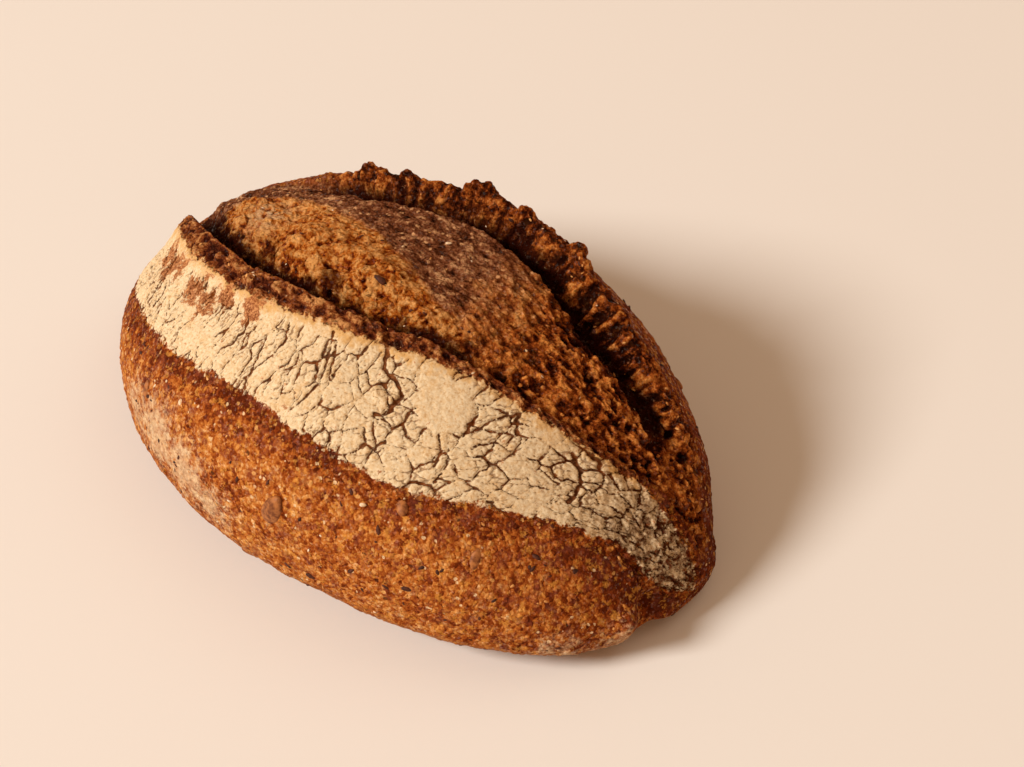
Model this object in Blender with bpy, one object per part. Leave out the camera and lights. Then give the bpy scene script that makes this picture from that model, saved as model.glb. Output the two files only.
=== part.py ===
# A whole multigrain loaf: a floured batard with two long slashes whose skins baked up into ears.
# The loaf lies along X with its front towards -Y, its top towards +Z and its flat underside on z = 0.
# Lengths are in metres. Around the loaf, angles are in degrees: 0 is the back belly, 90 the top,
# 180 the front belly and 270 the middle of the underside. Along it, a station runs from -1 to 1.

import math

import bmesh
import bpy
import numpy as np
from mathutils import Matrix, Vector, noise

MM = 0.001

# The plain form of the loaf
LENGTH = 0.274
FRONT_WIDTH = 0.096
BACK_WIDTH = 0.081
HEIGHT = 0.0935
BELLY_SHARE = 0.31          # the belly's height, as a share of the loaf's
TIP_BELLY_SHARE = 0.34      # how much of that height is left at the two tips
TIP_SWING = 0.004           # the tips lie this far behind the middle
UNDERSIDE_SINK = 0.0022     # dough below the flat underside, which pressed it flat
TOP_ROUNDNESS = 2.35
UNDERSIDE_ROUNDNESS = 3.0
UNDERSIDE_TAPER = 0.20
# How sharply each quarter narrows to its tip: 0.5 is an ellipse, more is more pointed
FRONT_TAPER = (0.55, 0.38)
BACK_TAPER = (0.78, 0.66)
HEIGHT_TAPER = (0.64, 0.68)
TIP_TAPER = 0.50            # the last of each tip is at least this blunt
TIP_ROOM = 0.14

# Lines drawn along the loaf, as (station, angle)
FRONT_CREST = [(-1, 92), (-0.85, 99), (-0.68, 106), (-0.35, 111), (0, 108), (0.35, 101), (0.7, 95), (1, 82)]
BACK_CREST = [(-1, 66), (-0.5, 69), (-0.2, 66), (0, 60), (0.25, 58), (0.5, 59), (0.8, 57), (1, 48)]
FLOUR_EDGE = [(-1, 138), (-0.5, 141), (-0.1, 137), (0.45, 135), (0.72, 121), (0.86, 116), (1, 130)]

# Heights and depths along the two slashes, as (station, millimetres)
FRONT_EAR = [(-1, 0), (-0.93, 1.4), (-0.84, 3.6), (-0.6, 3.8), (-0.2, 3.6), (0.1, 3.0), (0.35, 1.7),
             (0.6, 1.2), (0.9, 0.8), (1, 0)]
FRONT_VALLEY = [(-1, 0), (-0.85, 5.5), (-0.5, 8.0), (-0.05, 8.0), (0.25, 4.5), (0.4, 2.2), (0.6, 1.0),
                (0.9, 0.5), (1, 0)]
BACK_EAR = [(-1, 0), (-0.6, 0.6), (-0.42, 3.2), (-0.2, 5.4), (0, 7.4), (0.2, 8.2), (0.4, 6.6), (0.6, 4.4),
            (0.78, 1.8), (0.9, 0.2), (1, 0)]
BACK_VALLEY = [(-1, 0), (-0.6, 0.6), (-0.45, 3), (-0.2, 6.5), (0.1, 10), (0.3, 11), (0.45, 9), (0.6, 8),
               (0.75, 3), (0.88, 0.4), (1, 0)]
FRONT_LEAN = 3.4 * MM       # the front ear's edge hangs this far over its valley
BACK_LEAN = -1.2 * MM       # the back ear leans away from its valley
MAX_LEAN_HEIGHT = 3.4 * MM  # an ear lower than this leans less
FULL_GIRTH = 0.20           # where the loaf is slimmer than this round, its slashes shrink with it
# How wide each slash stands open, as (station, share)
FRONT_OPENING = [(-1, 1.4), (-0.6, 1.4), (-0.2, 1.15), (0.1, 1), (1, 1)]
BACK_OPENING = [(-1, 0.7), (-0.3, 0.62), (0, 0.62), (0.2, 0.8), (0.45, 1), (1, 1)]

# Torn points on the back ear, as (station, height, half length along the loaf)
SPIKES = [(-0.36, 5.0 * MM, 0.018), (-0.24, 4.4 * MM, 0.016), (-0.03, 4.6 * MM, 0.026),
          (0.12, 2.2 * MM, 0.014), (0.27, 2.0 * MM, 0.018)]

# Lumps of dough that swelled out of the front slash, pockets between them and the torn flap at the right tip:
# (station, angle, height, radius)
LUMPS = [(-0.60, 96, 3.0 * MM, 0.021), (-0.24, 95, 4.6 * MM, 0.017), (-0.02, 96, 4.8 * MM, 0.014),
         (0.19, 97, 3.4 * MM, 0.012), (-0.40, 101, -3.6 * MM, 0.010), (-0.12, 101, -4.2 * MM, 0.008),
         (-0.04, 104, -4.2 * MM, 0.008), (0.12, 101.5, -4.6 * MM, 0.0075), (0.47, 72, -3.5 * MM, 0.011),
         (0.955, 158, 7.0 * MM, 0.0055), (0.968, 138, -8.0 * MM, 0.0050), (0.985, 180, -9.0 * MM, 0.0085)]

# Mesh rows along the loaf, and columns from one line to the next: (columns, crowding towards its end)
ROWS = 76
ROW_CROWDING = 0.10         # draws rows from the tips towards the middle
COLUMNS = {"under_front": (8, 0.8), "front": (8, 1.0), "flour": (8, 1.5), "front_valley": (9, 1.0),
           "bloom": (7, 1.0), "strip": (6, 1.2), "back_valley": (8, 1.3), "back": (11, 0.65),
           "under_back": (8, 1.2)}
FRONT_VALLEY_SPAN = 11      # degrees from the front crest to the foot of the torn dough
STRIP_LINE = 86             # the angle where the torn dough meets the strip between the slashes
BACK_VALLEY_SPAN = 11

# Whole seeds baked into the crust: (station, angle, length, width, turn in degrees)
SEEDS = [(0.12, 166, 0.0130, 0.0085, 70), (0.43, 141, 0.0080, 0.0050, 30), (0.64, 145, 0.0085, 0.0050, -20),
         (-0.45, 160, 0.0085, 0.0050, 15), (0.02, 197, 0.0080, 0.0050, 60), (0.30, 12, 0.0125, 0.0080, 25),
         (-0.30, 28, 0.0085, 0.0050, -50), (-0.05, 352, 0.0085, 0.0050, 10), (0.62, 20, 0.0080, 0.0045, 80)]
SEED_THICKNESS_SHARE = 0.42
SEED_SINK_SHARE = 0.25      # how much of its thickness a seed's middle lies below the crust

CRUST_COLOUR = (0.30, 0.115, 0.035, 1.0)


def clear_scene():
    for old in list(bpy.data.objects):
        bpy.data.objects.remove(old)


def smooth_through(knots, x):
    """A smooth curve through the knots, read at x."""
    xs, ys = np.array(knots, float).T
    slopes = np.gradient(ys, xs)
    i = np.clip(np.searchsorted(xs, x) - 1, 0, len(xs) - 2)
    step = xs[i + 1] - xs[i]
    t = (x - xs[i]) / step
    return (
        (2 * t**3 - 3 * t**2 + 1) * ys[i]
        + (t**3 - 2 * t**2 + t) * step * slopes[i]
        + (3 * t**2 - 2 * t**3) * ys[i + 1]
        + (t**3 - t**2) * step * slopes[i + 1]
    )


def ramp(x, low, high):
    """0 below low, 1 above high and smooth between."""
    t = np.clip((x - low) / (high - low), 0, 1)
    return t * t * (3 - 2 * t)


def bumps(points, size, octaves=2, seed=0.0):
    """Smooth random bumps of that size in metres, from about -1 to 1, at each point of a grid."""
    offset = Vector((seed, 3.1 * seed, -1.7 * seed))
    flat = points.reshape(-1, 3) / size
    read = [noise.fractal(Vector(p) + offset, 1.0, 2.0, octaves) for p in flat]
    return np.array(read).reshape(points.shape[:-1])


def narrow(room, taper):
    """How much of the full width is left, with blunt tips."""
    blunt = TIP_TAPER + (taper - TIP_TAPER) * ramp(room, 0, TIP_ROOM)
    return room ** np.minimum(taper, blunt)


def plain_form(station, angle):
    """Points of the loaf before it was slashed: a rounded form with its own taper in each quarter."""
    turn = np.radians(angle)
    c, s = np.cos(turn), np.sin(turn)
    backness = 0.5 * (1 + c)
    rightness = 0.5 * (1 + np.tanh(3 * station))
    left = FRONT_TAPER[0] + (BACK_TAPER[0] - FRONT_TAPER[0]) * backness
    right = FRONT_TAPER[1] + (BACK_TAPER[1] - FRONT_TAPER[1]) * backness
    room = np.maximum(1 - station**2, 0)
    narrowing = narrow(room, left + (right - left) * rightness)
    lowering = room ** (HEIGHT_TAPER[0] + (HEIGHT_TAPER[1] - HEIGHT_TAPER[0]) * rightness)
    roundness = np.where(s > 0, TOP_ROUNDNESS, UNDERSIDE_ROUNDNESS)
    width = np.where(c < 0, FRONT_WIDTH, BACK_WIDTH)
    y = width * narrowing * np.sign(c) * np.abs(c) ** (2 / roundness) + TIP_SWING * station**2
    belly = BELLY_SHARE * HEIGHT * (TIP_BELLY_SHARE + (1 - TIP_BELLY_SHARE) * lowering)
    above = belly + (1 - BELLY_SHARE) * HEIGHT * lowering * np.abs(s) ** (2 / TOP_ROUNDNESS)
    drop = (belly + UNDERSIDE_SINK) * room**UNDERSIDE_TAPER
    below = belly - drop * np.abs(s) ** (2 / UNDERSIDE_ROUNDNESS)
    z = np.where(s > 0, above, below)
    return np.stack([0.5 * LENGTH * station + 0 * y, y, z], -1)


def mesh_lines(rows, columns):
    """The station and angle of each point of the mesh, and the column that each slash's crest follows."""
    even_run = np.linspace(-1, 1, rows + 2)[1:-1]
    station = np.sin(math.pi / 2 * (even_run - ROW_CROWDING * np.sin(math.pi * even_run)))
    front = smooth_through(FRONT_CREST, station)
    back = smooth_through(BACK_CREST, station)
    flour = smooth_through(FLOUR_EDGE, station)
    even = np.ones_like(station)
    lines = [
        ("under_front", 270 * even), ("front", 180 * even), ("flour", flour), ("front_valley", front),
        ("bloom", front - FRONT_VALLEY_SPAN),
        ("strip", np.minimum(STRIP_LINE, front - FRONT_VALLEY_SPAN - 2)),
        ("back_valley", back + BACK_VALLEY_SPAN), ("back", back), ("under_back", 0 * even), ("", -90 * even),
    ]
    angles, crests = [], {}
    for (name, start), (_, end) in zip(lines, lines[1:]):
        count, crowding = columns[name]
        crests[name] = len(angles)
        for k in range(count):
            share = 1 - (1 - k / count) ** crowding
            angles.append(start + (end - start) * share)
    angle = np.array(angles).T
    return np.repeat(station[:, None], angle.shape[1], 1), angle, crests["front_valley"], crests["back"]


def unit(v):
    return v / np.maximum(np.linalg.norm(v, axis=-1, keepdims=True), 1e-9)


def directions(grid):
    """Along each section towards the back, and out of the surface."""
    across = unit(np.roll(grid, -1, 1) - np.roll(grid, 1, 1))
    along = unit(np.gradient(grid, axis=0))
    return across, unit(np.cross(along, across))


def arc_from(grid, column):
    """Distance along each section from that column, growing towards the back."""
    steps = np.linalg.norm(np.diff(grid, axis=1), axis=-1)
    run = np.concatenate([np.zeros((len(grid), 1)), np.cumsum(steps, 1)], 1)
    return run - run[:, [column]], run[:, [-1]]


def slash(distance, scale, ear, valley, lean, outer_reach, opening, wall, floor, far_side):
    """Height and sideways shift round one slash. distance is from the crest, positive into the valley."""
    d = distance / scale
    d = np.where(d > 0, d / opening, d)
    lip = 1.2 * MM
    skin = np.exp(-(np.minimum(d, 0) / outer_reach) ** 2)
    fall = ramp(d, lip, wall)
    rise = ramp(d, floor, far_side)
    height = ear * skin * (1 - fall) - valley * fall * (1 - rise)
    shift = lean * np.exp(-(np.minimum(d, 0) / (0.5 * outer_reach)) ** 2) * (1 - ramp(d, 0.5 * lip, wall))
    return height * scale, shift * scale


def loaf_grid(rows, columns):
    """The loaf's surface as rows of points, slashed and roughened."""
    station, angle, front_column, back_column = mesh_lines(rows, columns)
    base = plain_form(station, angle)
    across, outward = directions(base)
    front_run, girth = arc_from(base, front_column)
    back_run, _ = arc_from(base, back_column)
    scale = np.minimum(1, girth / FULL_GIRTH)

    front_ear = np.maximum(smooth_through(FRONT_EAR, station), 0) * MM
    front_valley = np.maximum(smooth_through(FRONT_VALLEY, station), 0) * MM
    back_ear = np.maximum(smooth_through(BACK_EAR, station), 0) * MM
    back_valley = np.maximum(smooth_through(BACK_VALLEY, station), 0) * MM
    for place, height, reach in SPIKES:
        back_ear = back_ear + height * np.exp(-(((station - place) * LENGTH / reach) ** 2) * 2)
    crest_noise = bumps(base * (1, 0.2, 0.2), 0.007, 3, 5.0)
    front_ear = front_ear * (1 + 0.30 * crest_noise)
    back_ear = back_ear * (1 + 0.35 * crest_noise)

    front_lean = FRONT_LEAN * np.clip(front_ear / MAX_LEAN_HEIGHT, 0, 1)
    back_lean = BACK_LEAN * np.clip(back_ear / MAX_LEAN_HEIGHT, 0, 1)
    up_front, over_front = slash(front_run, scale, front_ear, front_valley, front_lean, 9 * MM,
                                 smooth_through(FRONT_OPENING, station), 3.8 * MM, 6.5 * MM, 16 * MM)
    up_back, over_back = slash(-back_run, scale, back_ear, back_valley, back_lean, 10 * MM,
                               smooth_through(BACK_OPENING, station), 4.6 * MM, 9.0 * MM, 17 * MM)

    torn = ramp(front_run, 3 * MM, 8 * MM) * (1 - ramp(front_run, 26 * MM, 38 * MM))
    torn *= 1 - ramp(station, 0.2, 0.5)
    rough = ramp(front_run, 0, 10 * MM) * ramp(-back_run, 0, 8 * MM)
    wall = ramp(-back_run, 0, 2 * MM) * (1 - ramp(-back_run, 5 * MM, 8 * MM))
    height = up_front + up_back
    height += torn * (0.8 * MM + 2.2 * MM * bumps(base, 0.012, 2, 1.0))
    for place, place_angle, rise, radius in LUMPS:
        middle = plain_form(np.array(place), np.array(float(place_angle)))
        height += rise * np.exp(-np.sum((base - middle) ** 2, -1) / radius**2)
    height += rough * 0.9 * MM * bumps(base, 0.009, 3, 2.0)
    height += 1.1 * MM * bumps(base, 0.034, 2, 3.0)
    shift = over_front - over_back + wall * 1.3 * MM * bumps(base, 0.009, 2, 4.0)

    surface = base + outward * (height * scale)[..., None] + across * shift[..., None]
    surface[..., 2] = np.maximum(surface[..., 2], 0)
    return surface, outward


def add_tips(surface):
    """The two points that close the loaf's ends."""
    first, last = surface[0].mean(0), surface[-1].mean(0)
    reach = 0.5 * LENGTH
    return Vector((-reach, first[1], first[2])), Vector((reach, last[1], last[2]))


def loaf_mesh(surface):
    rows, columns = surface.shape[:2]
    bm = bmesh.new()
    verts = [[bm.verts.new(Vector(p)) for p in row] for row in surface]
    left, right = (bm.verts.new(p) for p in add_tips(surface))
    for i in range(rows - 1):
        for j in range(columns):
            k = (j + 1) % columns
            bm.faces.new((verts[i][j], verts[i + 1][j], verts[i + 1][k], verts[i][k]))
    for j in range(columns):
        k = (j + 1) % columns
        bm.faces.new((left, verts[0][j], verts[0][k]))
        bm.faces.new((right, verts[-1][k], verts[-1][j]))
    bmesh.ops.triangulate(bm, faces=bm.faces[:], quad_method="BEAUTY")
    mesh = bpy.data.meshes.new("loaf")
    bm.to_mesh(mesh)
    bm.free()
    return mesh


def crust_material():
    material = bpy.data.materials.new("crust")
    material.use_nodes = True
    shader = material.node_tree.nodes["Principled BSDF"]
    shader.inputs["Base Color"].default_value = CRUST_COLOUR
    shader.inputs["Roughness"].default_value = 0.85
    shader.inputs["Metallic"].default_value = 0.0
    material.diffuse_color = CRUST_COLOUR
    return material


def add_seed(collection, surface, outward, place, number):
    """One flat seed, sunk in the crust at its station and angle."""
    station, angle, length, width, turn = place
    x, y, z = plain_form(np.array([[station]]), np.array([[float(angle)]]))[0, 0]
    nearest = np.unravel_index(np.linalg.norm(surface - (x, y, z), axis=-1).argmin(), surface.shape[:2])
    normal = Vector(outward[nearest])
    thickness = SEED_THICKNESS_SHARE * width
    bm = bmesh.new()
    bmesh.ops.create_uvsphere(bm, u_segments=8, v_segments=4, radius=0.5)
    for v in bm.verts:
        pointed = 1 - 0.35 * (v.co.x + 0.5)
        v.co = Vector((v.co.x * length, v.co.y * width * pointed, v.co.z * thickness))
    bmesh.ops.triangulate(bm, faces=bm.faces[:])
    mesh = bpy.data.meshes.new(f"seed_{number}")
    frame = normal.to_track_quat("Z", "X").to_matrix().to_4x4()
    middle = Vector(surface[nearest]) - normal * thickness * SEED_SINK_SHARE
    bm.transform(Matrix.Translation(middle) @ frame @ Matrix.Rotation(math.radians(turn), 4, "Z"))
    bm.to_mesh(mesh)
    bm.free()
    seed = bpy.data.objects.new(f"seed_{number}", mesh)
    collection.objects.link(seed)


def fuse_seeds(loaf, surface, outward):
    """Joins the seeds to the crust with one union, and leaves the loaf as one body."""
    collection = bpy.data.collections.new("seeds")
    bpy.context.scene.collection.children.link(collection)
    for number, place in enumerate(SEEDS):
        add_seed(collection, surface, outward, place, number)
    union = loaf.modifiers.new("seeds", "BOOLEAN")
    union.operation = "UNION"
    union.operand_type = "COLLECTION"
    union.collection = collection
    union.solver = "MANIFOLD"
    bpy.context.view_layer.update()
    evaluated = loaf.evaluated_get(bpy.context.evaluated_depsgraph_get())
    fused = bpy.data.meshes.new_from_object(evaluated)
    loaf.modifiers.clear()
    loaf.data = fused
    for seed in list(collection.objects):
        bpy.data.objects.remove(seed)
    bpy.data.collections.remove(collection)


def centre_on_base(loaf):
    """Moves the mesh so that the middle of its box stands on the origin."""
    points = np.array([v.co for v in loaf.data.vertices])
    low, high = points.min(0), points.max(0)
    middle = Vector(((low[0] + high[0]) / 2, (low[1] + high[1]) / 2, low[2]))
    loaf.data.transform(Matrix.Translation(-middle))


def main():
    clear_scene()
    surface, outward = loaf_grid(ROWS, COLUMNS)
    loaf = bpy.data.objects.new("loaf", loaf_mesh(surface))
    bpy.context.scene.collection.objects.link(loaf)
    fuse_seeds(loaf, surface, outward)
    centre_on_base(loaf)
    loaf.data.materials.clear()
    loaf.data.materials.append(crust_material())
    loaf.data.shade_smooth()


main()
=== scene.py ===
import math
import random

import bmesh
import bpy
import numpy as np
from mathutils import Matrix, Vector, noise


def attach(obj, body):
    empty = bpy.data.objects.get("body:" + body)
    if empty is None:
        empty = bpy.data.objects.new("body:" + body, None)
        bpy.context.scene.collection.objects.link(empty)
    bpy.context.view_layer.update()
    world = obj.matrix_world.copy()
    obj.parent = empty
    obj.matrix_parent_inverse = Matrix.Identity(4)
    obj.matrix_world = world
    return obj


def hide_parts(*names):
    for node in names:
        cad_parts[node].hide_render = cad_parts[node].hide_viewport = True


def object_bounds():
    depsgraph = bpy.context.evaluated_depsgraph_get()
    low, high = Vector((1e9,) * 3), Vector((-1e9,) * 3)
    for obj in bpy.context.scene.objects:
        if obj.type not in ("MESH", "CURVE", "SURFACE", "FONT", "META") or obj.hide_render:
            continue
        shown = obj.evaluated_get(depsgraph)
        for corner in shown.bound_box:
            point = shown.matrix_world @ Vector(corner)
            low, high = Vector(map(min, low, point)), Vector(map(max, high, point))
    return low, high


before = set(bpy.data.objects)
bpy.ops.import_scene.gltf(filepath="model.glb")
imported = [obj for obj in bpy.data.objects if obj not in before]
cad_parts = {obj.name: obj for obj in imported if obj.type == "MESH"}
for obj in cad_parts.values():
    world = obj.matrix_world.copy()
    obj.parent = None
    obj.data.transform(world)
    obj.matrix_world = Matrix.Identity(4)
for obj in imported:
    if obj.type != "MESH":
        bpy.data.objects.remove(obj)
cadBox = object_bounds()
cadLow, cadHigh = np.array(cadBox[0]), np.array(cadBox[1])
mm = 0.001


def curveThrough(knots, x):  # smooth curve through (x, y) knots
    xs, ys = np.array(knots, float).T
    slopes = np.gradient(ys, xs)
    i = np.clip(np.searchsorted(xs, x) - 1, 0, len(xs) - 2)
    step = xs[i + 1] - xs[i]
    t = (x - xs[i]) / step
    return (
        (2 * t**3 - 3 * t**2 + 1) * ys[i]
        + (t**3 - 2 * t**2 + t) * step * slopes[i]
        + (3 * t**2 - 2 * t**3) * ys[i + 1]
        + (t**3 - t**2) * step * slopes[i + 1]
    )


def ramp(x, low, high):  # 0 below low, 1 above high
    t = np.clip((x - low) / (high - low), 0, 1)
    return t * t * (3 - 2 * t)


def bumps(points, size, octaves=2, seed=0.0):  # random bumps, about -1 to 1
    offset = Vector((seed, 3.1 * seed, -1.7 * seed))
    flat = points.reshape(-1, 3) / size
    read = [noise.fractal(Vector(p) + offset, 1.0, 2.0, octaves) for p in flat]
    return np.array(read).reshape(points.shape[:-1])


def cells(points, seed=0.0):  # the two nearest cell points: their distances and places
    offset = Vector((seed, -2.3 * seed, 1.9 * seed))
    read = [noise.voronoi(Vector(p) + offset) for p in points.reshape(-1, 3)]
    distance = np.array([(d[0], d[1]) for d, _ in read])
    place = np.array([(tuple(at[0]), tuple(at[1])) for _, at in read])
    return distance.reshape(*points.shape[:-1], 2), place.reshape(*points.shape[:-1], 2, 3)


def cellNumber(place):  # a steady random number for a cell
    return np.mod(np.abs(np.sin(place @ np.array((12.9898, 78.233, 37.719))) * 43758.5453), 1.0)


def unit(v):
    return v / np.maximum(np.linalg.norm(v, axis=-1, keepdims=True), 1e-9)


# the loaf's form, the same as the CAD's

loafForm = {
    "length": 0.274,
    "frontWidth": 0.096,
    "backWidth": 0.081,
    "height": 0.0935,
    "bellyShare": 0.31,
    "tipBellyShare": 0.34,
    "tipSwing": 0.004,
    "undersideSink": 0.0022,
    "topRoundness": 2.35,
    "undersideRoundness": 3.0,
    "undersideTaper": 0.20,
    "frontTaper": (0.55, 0.38),
    "backTaper": (0.78, 0.66),
    "heightTaper": (0.64, 0.68),
    "tipTaper": 0.50,
    "tipRoom": 0.14,
}

slashLines = {  # (station, angle): 90 is the top, 180 the front belly
    "frontCrest": [(-1, 92), (-0.85, 99), (-0.68, 106), (-0.35, 111), (0, 108), (0.35, 101), (0.7, 95),
                   (1, 82)],
    "backCrest": [(-1, 66), (-0.5, 69), (-0.2, 66), (0, 60), (0.25, 58), (0.5, 59), (0.8, 57), (1, 48)],
    "flourEdge": [(-1, 138), (-0.5, 141), (-0.1, 137), (0.45, 135), (0.72, 121), (0.86, 116), (1, 130)],
}

slashHeights = {  # (station, millimetres)
    "frontEar": [(-1, 0), (-0.93, 1.4), (-0.84, 3.6), (-0.6, 3.8), (-0.2, 3.6), (0.1, 3.0), (0.35, 1.7),
                 (0.6, 1.2), (0.9, 0.8), (1, 0)],
    "frontValley": [(-1, 0), (-0.85, 5.5), (-0.5, 8.0), (-0.05, 8.0), (0.25, 4.5), (0.4, 2.2), (0.6, 1.0),
                    (0.9, 0.5), (1, 0)],
    "backEar": [(-1, 0), (-0.6, 0.6), (-0.42, 3.2), (-0.2, 5.4), (0, 7.4), (0.2, 8.2), (0.4, 6.6), (0.6, 4.4),
                (0.78, 1.8), (0.9, 0.2), (1, 0)],
    "backValley": [(-1, 0), (-0.6, 0.6), (-0.45, 3), (-0.2, 6.5), (0.1, 10), (0.3, 11), (0.45, 9), (0.6, 8),
                   (0.75, 3), (0.88, 0.4), (1, 0)],
}

earShape = {
    "frontLean": 3.4 * mm,
    "backLean": -1.2 * mm,
    "fullLeanHeight": 3.4 * mm,
    "fullGirth": 0.20,
    # each slash across: how far its ear reaches out, and where its wall, its floor and its far side end
    "frontSection": {"reach": 9 * mm, "wall": 3.8 * mm, "floor": 6.5 * mm, "farSide": 16 * mm},
    "backSection": {"reach": 10 * mm, "wall": 4.6 * mm, "floor": 9.0 * mm, "farSide": 17 * mm},
    # how wide the slashes stand open, as (station, share)
    "frontOpening": [(-1, 1.4), (-0.6, 1.4), (-0.2, 1.15), (0.1, 1), (1, 1)],
    "backOpening": [(-1, 0.7), (-0.3, 0.62), (0, 0.62), (0.2, 0.8), (0.45, 1), (1, 1)],
    # torn points on the back ear: station, height, half length
    "spikes": [(-0.36, 5.0 * mm, 0.018), (-0.24, 4.4 * mm, 0.016), (-0.03, 4.6 * mm, 0.026),
               (0.12, 2.2 * mm, 0.014), (0.27, 2.0 * mm, 0.018)],
    # lumps of torn dough and pockets between them: station, angle, height, radius
    "lumps": [(-0.60, 96, 3.0 * mm, 0.021), (-0.24, 95, 4.6 * mm, 0.017), (-0.02, 96, 4.8 * mm, 0.014),
              (0.19, 97, 3.4 * mm, 0.012), (-0.40, 101, -3.6 * mm, 0.010), (-0.12, 101, -4.2 * mm, 0.008),
              (-0.04, 104, -4.2 * mm, 0.008), (0.12, 101.5, -4.6 * mm, 0.0075), (0.47, 72, -3.5 * mm, 0.011),
              # the flap at the right tip
              (0.955, 158, 7.0 * mm, 0.0055), (0.968, 138, -8.0 * mm, 0.0050),
              (0.985, 180, -9.0 * mm, 0.0085)],
}

formBumps = {  # height, size, octaves, seed
    "torn": (2.2 * mm, 0.012, 2, 1.0),
    "rough": (0.9 * mm, 0.009, 3, 2.0),
    "broad": (1.1 * mm, 0.034, 2, 3.0),
    "wall": (1.3 * mm, 0.009, 2, 4.0),
}

surfaceGrid = {
    "rows": 560,
    "rowCrowding": 0.10,
    # columns from each line to the next, how they crowd (above 1 to the end, below -1 to the start),
    # and the line's angle, or its degrees past the slash line that it follows
    "underFront": (26, 1.8, 270),
    "front": (84, 1.0, 180),
    "band": (104, 1.0, 6),
    "lip": (36, 1.0, 1.5),
    "crevice": (30, 1.0, -4),
    "middle": (62, 1.0, -12),
    "hollow": (32, 1.0, 14),
    "ear": (40, 1.0, 6),
    "back": (100, -1.15, -2),
    "underBack": (26, -1.8, 0),
    "end": (0, 1.0, -90),
    "leastGap": 0.3,
}


def narrow(room, taper):
    f = loafForm
    blunt = f["tipTaper"] + (taper - f["tipTaper"]) * ramp(room, 0, f["tipRoom"])
    return room ** np.minimum(taper, blunt)


def plainForm(station, angle):
    f = loafForm
    turn = np.radians(angle)
    c, s = np.cos(turn), np.sin(turn)
    backness = 0.5 * (1 + c)
    rightness = 0.5 * (1 + np.tanh(3 * station))
    left = f["frontTaper"][0] + (f["backTaper"][0] - f["frontTaper"][0]) * backness
    right = f["frontTaper"][1] + (f["backTaper"][1] - f["frontTaper"][1]) * backness
    room = np.maximum(1 - station**2, 0)
    narrowing = narrow(room, left + (right - left) * rightness)
    lowering = room ** (f["heightTaper"][0] + (f["heightTaper"][1] - f["heightTaper"][0]) * rightness)
    roundness = np.where(s > 0, f["topRoundness"], f["undersideRoundness"])
    width = np.where(c < 0, f["frontWidth"], f["backWidth"])
    y = width * narrowing * np.sign(c) * np.abs(c) ** (2 / roundness) + f["tipSwing"] * station**2
    belly = f["bellyShare"] * f["height"] * (f["tipBellyShare"] + (1 - f["tipBellyShare"]) * lowering)
    above = belly + (1 - f["bellyShare"]) * f["height"] * lowering * np.abs(s) ** (2 / f["topRoundness"])
    drop = (belly + f["undersideSink"]) * room ** f["undersideTaper"]
    below = belly - drop * np.abs(s) ** (2 / f["undersideRoundness"])
    z = np.where(s > 0, above, below)
    return np.stack([0.5 * f["length"] * station + 0 * y, y, z], -1)


def gridLines():
    g = surfaceGrid
    even = np.linspace(-1, 1, g["rows"] + 2)[1:-1]
    station = np.sin(math.pi / 2 * (even - g["rowCrowding"] * np.sin(math.pi * even)))
    front, back, flour = (curveThrough(slashLines[name], station)
                          for name in ("frontCrest", "backCrest", "flourEdge"))
    follows = {"band": flour, "lip": front, "crevice": front, "middle": front, "hollow": back, "ear": back,
               "back": back}
    lines = [(name, follows.get(name, 0 * station) + g[name][2])
             for name in ("underFront", "front", "band", "lip", "crevice", "middle", "hollow", "ear", "back",
                          "underBack", "end")]
    for k in range(len(lines) - 2, 0, -1):  # near the tips the lines keep their order
        name, line = lines[k]
        lines[k] = (name, np.maximum(line, lines[k + 1][1] + g["leastGap"]))
    angles, starts = [], {}
    for (name, start), (_, end) in zip(lines, lines[1:]):
        count, crowd, _ = g[name]
        starts[name] = len(angles)
        for k in range(count):
            t = k / count
            share = 1 - (1 - t) ** crowd if crowd > 0 else t ** -crowd
            angles.append(start + (end - start) * share)
    starts["end"] = len(angles)
    angle = np.array(angles).T
    return np.repeat(station[:, None], angle.shape[1], 1), angle, starts


def slash(distance, scale, ear, valley, lean, opening, reach, wall, floor, farSide):
    d = distance / scale
    d = np.where(d > 0, d / opening, d)
    lip = 1.2 * mm
    skin = np.exp(-(np.minimum(d, 0) / reach) ** 2)
    fall = ramp(d, lip, wall)
    rise = ramp(d, floor, farSide)
    height = ear * skin * (1 - fall) - valley * fall * (1 - rise)
    shift = lean * np.exp(-(np.minimum(d, 0) / (0.5 * reach)) ** 2) * (1 - ramp(d, 0.5 * lip, wall))
    return height * scale, shift * scale


def runFrom(grid, angle, line):  # distance along each section from the line, growing towards the back
    steps = np.linalg.norm(np.diff(grid, axis=1), axis=-1)
    run = np.concatenate([np.zeros((len(grid), 1)), np.cumsum(steps, 1)], 1)
    at = [np.interp(-line[i], -angle[i], run[i]) for i in range(len(grid))]
    return run - np.array(at)[:, None], run[:, [-1]]


def gridNormals(grid):
    around = np.roll(grid, -1, 1) - np.roll(grid, 1, 1)
    along = np.gradient(grid, axis=0)
    return unit(np.cross(along, around))


station, angle, columnStart = gridLines()
base = plainForm(station, angle)
rowStation = station[:, 0]
frontRun, girth = runFrom(base, angle, curveThrough(slashLines["frontCrest"], rowStation))
backRun, _ = runFrom(base, angle, curveThrough(slashLines["backCrest"], rowStation))
flourRun, _ = runFrom(base, angle, curveThrough(slashLines["flourEdge"], rowStation))
scale = np.minimum(1, girth / earShape["fullGirth"])
print("loaf: grid of", base.shape[0], "by", base.shape[1])


def height(name):
    return np.maximum(curveThrough(slashHeights[name], station), 0) * mm


def formBump(name):
    rise, size, octaves, seed = formBumps[name]
    return rise * bumps(base, size, octaves, seed)


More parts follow.
